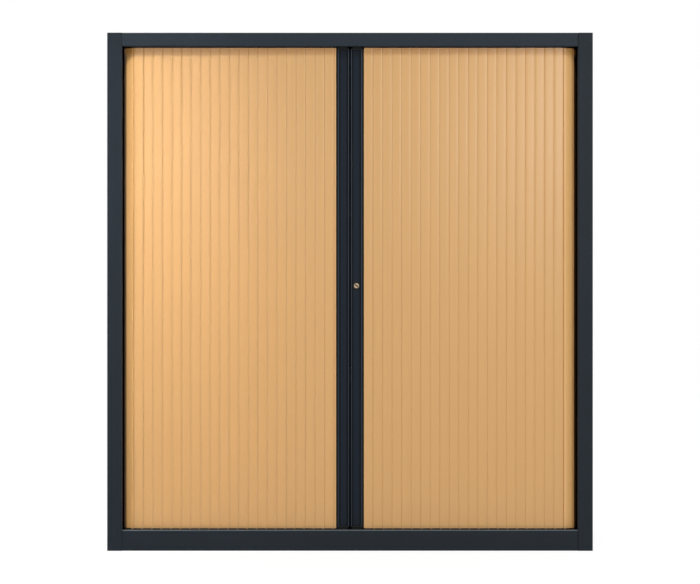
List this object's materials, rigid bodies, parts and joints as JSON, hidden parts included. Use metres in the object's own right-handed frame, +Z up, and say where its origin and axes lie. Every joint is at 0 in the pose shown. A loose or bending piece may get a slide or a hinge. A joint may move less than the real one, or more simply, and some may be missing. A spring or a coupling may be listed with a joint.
{
  "type": "tambour cabinet",
  "caption": "Steel office cabinet with tambour curtains of beech-tone slats that open sideways round the front corners, grip bars meeting at a cylinder lock, and shelves inside.",
  "frame": {"origin": "middle of the footprint, on the ground", "axes": "+Z up, -Y is the front with the curtains, +X to the right seen from the front"},
  "size_m": [1.2, 0.43, 1.28],
  "materials": {
    "coated_steel": "anthracite powder coat, fine texture",
    "coated_aluminium": "anthracite powder coat on an extrusion",
    "beech_pvc": "beech-tone satin PVC",
    "black_plastic": "black moulded plastic",
    "foot_plastic": "black moulded plastic",
    "zinc_steel": "zinc plated",
    "nickel_plate": "nickel plated"
  },
  "bodies": {
    "carcass": {"left_side_panel": "coated_steel", "right_side_panel": "coated_steel", "top_panel": "coated_steel", "ceiling_panel": "coated_steel", "back_panel": "coated_steel", "plinth_rail": "coated_steel", "floor_panel": "coated_steel", "rear_base_rail": "coated_steel", "left_liner": "coated_steel", "right_liner": "coated_steel", "inner_back": "coated_steel", "lower_front_track": "black_plastic", "upper_front_track": "black_plastic", "left_lower_track": "black_plastic", "left_upper_track": "black_plastic", "right_lower_track": "black_plastic", "right_upper_track": "black_plastic", "centre_stops": "black_plastic", "shelf_uprights": "coated_steel", "lower_shelf": "coated_steel", "upper_shelf": "coated_steel", "shelf_clips": "zinc_steel", "back_rivets": "zinc_steel", "foot_brackets": "zinc_steel", "floor_plugs": "black_plastic"},
    "left_door": {"left_bar": "coated_aluminium", "left_bar_caps": "black_plastic", "left_glides": "black_plastic", "left_slats": "beech_pvc", "left_slat_caps": "beech_pvc", "lock_keeper": "zinc_steel"},
    "right_door": {"right_bar": "coated_aluminium", "right_bar_caps": "black_plastic", "right_glides": "black_plastic", "right_slats": "beech_pvc", "right_slat_caps": "beech_pvc", "lock_housing": "black_plastic", "lock_ring_nut": "zinc_steel"},
    "lock": {"lock_plug": "nickel_plate", "lock_cam": "zinc_steel", "lock_cam_nut": "zinc_steel"},
    "front_left_foot": {"front_left_stud": "zinc_steel", "front_left_pad": "foot_plastic"},
    "front_right_foot": {"front_right_stud": "zinc_steel", "front_right_pad": "foot_plastic"},
    "rear_left_foot": {"rear_left_stud": "zinc_steel", "rear_left_pad": "foot_plastic"},
    "rear_right_foot": {"rear_right_stud": "zinc_steel", "rear_right_pad": "foot_plastic"}
  },
  "joints": [
    {"name": "left_door_slide", "type": "slide", "parent": "carcass", "child": "left_door", "axis": [-1, 0, 0], "range_m": [0, 0.491], "deforming": ["left_slats", "left_slat_caps"]},
    {"name": "right_door_slide", "type": "slide", "parent": "carcass", "child": "right_door", "axis": [1, 0, 0], "range_m": [0, 0.491], "deforming": ["right_slats", "right_slat_caps"]},
    {"name": "lock_turn", "type": "hinge", "parent": "right_door", "child": "lock", "pos_m": [0.016, -0.19, 0.655], "axis": [0, -1, 0], "range_deg": [0, 90]},
    {"name": "front_left_foot_screw", "type": "slide", "parent": "carcass", "child": "front_left_foot", "axis": [0, 0, -1], "range_m": [0, 0.012]},
    {"name": "front_right_foot_screw", "type": "slide", "parent": "carcass", "child": "front_right_foot", "axis": [0, 0, -1], "range_m": [0, 0.012]},
    {"name": "rear_left_foot_screw", "type": "slide", "parent": "carcass", "child": "rear_left_foot", "axis": [0, 0, -1], "range_m": [0, 0.012]},
    {"name": "rear_right_foot_screw", "type": "slide", "parent": "carcass", "child": "rear_right_foot", "axis": [0, 0, -1], "range_m": [0, 0.012]}
  ]
}
